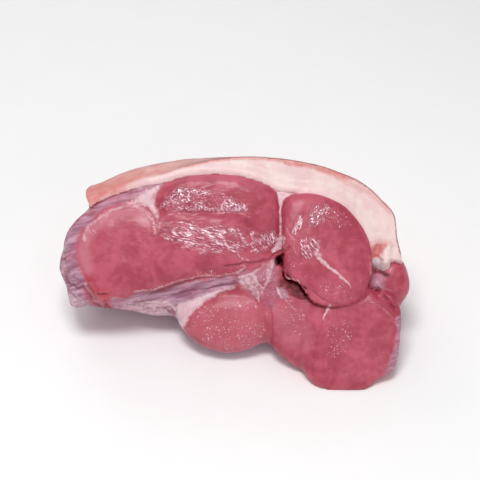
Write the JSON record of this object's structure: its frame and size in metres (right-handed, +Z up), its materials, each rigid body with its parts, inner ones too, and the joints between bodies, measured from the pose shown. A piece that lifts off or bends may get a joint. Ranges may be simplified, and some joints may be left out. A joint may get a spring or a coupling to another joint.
{
  "type": "lean pork leg joint",
  "caption": "Boneless leg of pork cut across: bulging lean muscles on a leaning cut face, under a curved cap of fat and rind.",
  "frame": {"origin": "on the board, under the middle of the joint's box", "axes": "+X to the right across the cut face, +Y away from the eye, towards the rind at the back, +Z up from the board"},
  "size_m": [0.2766, 0.1892, 0.1337],
  "materials": {
    "lean": "raw pork muscle, deep pink, moist and glossy, with pale seams of sinew",
    "fat": "pale pink-white back fat with an outer skin of tan-pink rind"
  },
  "bodies": {
    "root": {"lean_meat": "lean", "fat_and_rind": "fat"}
  },
  "joints": []
}
